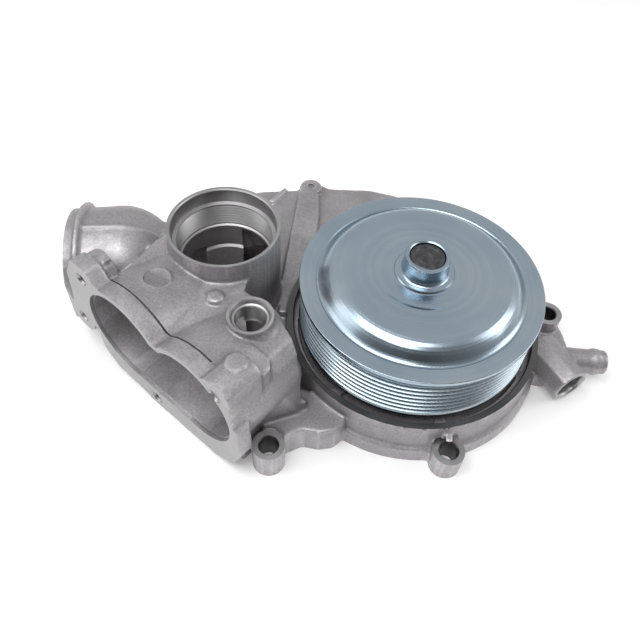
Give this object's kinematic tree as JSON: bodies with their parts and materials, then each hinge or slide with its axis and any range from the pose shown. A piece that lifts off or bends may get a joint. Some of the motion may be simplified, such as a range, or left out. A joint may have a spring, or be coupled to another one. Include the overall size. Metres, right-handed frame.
{
  "type": "engine coolant pump",
  "caption": "Belt-driven engine coolant pump: cast body with a thermostat chamber, upright threaded port, hose pipe and vent arm, and a grooved pulley that turns an impeller behind it.",
  "frame": {"origin": "on the shaft axis, in the plane of the rear mounting face, at the shaft's rear end", "axes": "+Z along the shaft towards the pulley; +X towards the small hose stub, the large hose pipe lies at -X; -Y towards the thermostat flange and front bolt boss"},
  "size_m": [0.3285, 0.2267, 0.0843],
  "materials": {
    "cast_aluminium": "as-cast, shot-blasted, satin",
    "zinc_plate": "bluish zinc plate, fine concentric brushing",
    "bearing_steel": "ground",
    "dark_steel": "blackened",
    "cast_iron": "as-cast",
    "pressed_brass": "pressed, satin",
    "rubber": "matt",
    "carbon": "lapped",
    "cage_plastic": "moulded"
  },
  "bodies": {
    "housing": {"pump_housing": "cast_aluminium", "rear_o_ring": "rubber", "bearing_outer_ring": "bearing_steel", "bearing_rear_seal": "rubber", "bearing_front_seal": "rubber", "bearing_retaining_ring": "dark_steel", "seal_case": "pressed_brass", "seal_bellows": "rubber", "seal_spring": "bearing_steel", "seal_face_ring": "carbon"},
    "rotor": {"belt_pulley": "zinc_plate", "drive_shaft": "dark_steel", "impeller": "cast_iron", "seal_seat_ring": "carbon", "seal_seat_boot": "rubber", "slinger_ring": "bearing_steel"},
    "ball_set": {"ball_cage": "cage_plastic", "bearing_ball_1": "bearing_steel", "bearing_ball_2": "bearing_steel", "bearing_ball_3": "bearing_steel", "bearing_ball_4": "bearing_steel", "bearing_ball_5": "bearing_steel", "bearing_ball_6": "bearing_steel", "bearing_ball_7": "bearing_steel", "bearing_ball_8": "bearing_steel", "bearing_ball_9": "bearing_steel"},
    "roller_set": {"roller_cage": "cage_plastic", "bearing_roller_1": "bearing_steel", "bearing_roller_2": "bearing_steel", "bearing_roller_3": "bearing_steel", "bearing_roller_4": "bearing_steel", "bearing_roller_5": "bearing_steel", "bearing_roller_6": "bearing_steel", "bearing_roller_7": "bearing_steel", "bearing_roller_8": "bearing_steel", "bearing_roller_9": "bearing_steel", "bearing_roller_10": "bearing_steel", "bearing_roller_11": "bearing_steel", "bearing_roller_12": "bearing_steel"}
  },
  "joints": [
    {"name": "rotor_spin", "type": "hinge", "parent": "housing", "child": "rotor", "pos_m": [0, 0, 0], "axis": [0, 0, 1], "continuous": true},
    {"name": "ball_set_spin", "type": "hinge", "parent": "housing", "child": "ball_set", "pos_m": [0, 0, 0], "axis": [0, 0, 1], "continuous": true},
    {"name": "roller_set_spin", "type": "hinge", "parent": "housing", "child": "roller_set", "pos_m": [0, 0, 0], "axis": [0, 0, 1], "continuous": true}
  ],
  "couplings": [
    {"joint": "ball_set_spin", "follows": "rotor_spin", "ratio": 0.3625},
    {"joint": "roller_set_spin", "follows": "rotor_spin", "ratio": 0.4}
  ]
}
